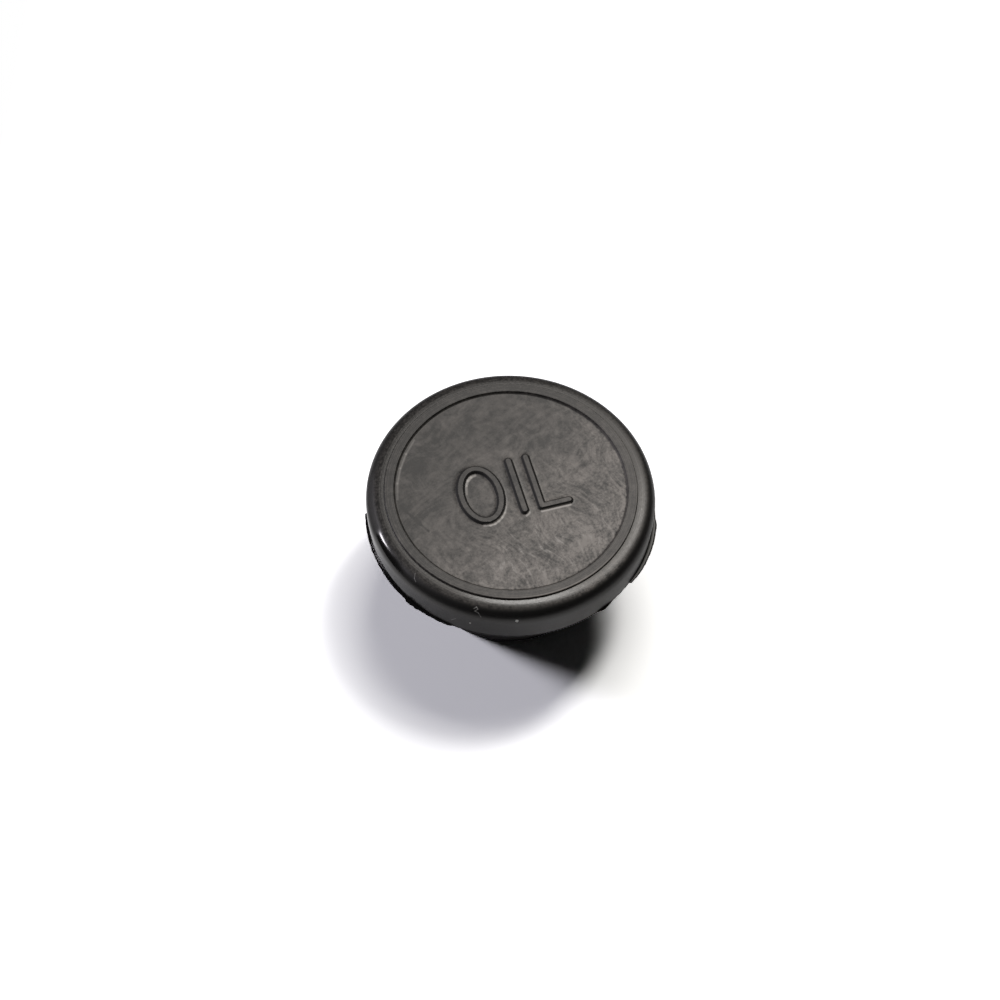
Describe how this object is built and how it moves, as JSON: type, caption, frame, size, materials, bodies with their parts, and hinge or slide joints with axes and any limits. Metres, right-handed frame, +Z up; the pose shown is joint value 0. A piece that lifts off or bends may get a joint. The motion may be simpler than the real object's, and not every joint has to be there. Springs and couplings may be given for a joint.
{
  "type": "oil filler cap",
  "caption": "Round black rubber push-in oil filler cap: mushroom head with a rounded rim, raised ring and raised word on its flat face, over a hollow plug that tapers to its end.",
  "frame": {"origin": "on the plug's axis, in the plane of the plug's lower end, where the cap stands", "axes": "+Z up along the plug's axis from the plug to the head, +X along the raised word as it is read, +Y towards the top of the letters"},
  "size_m": [0.0508, 0.0502, 0.0265],
  "materials": {
    "rubber": "matte face with dusty bloom and scuffs, glossier rim"
  },
  "bodies": {
    "root": {"filler_cap": "rubber"}
  },
  "joints": []
}
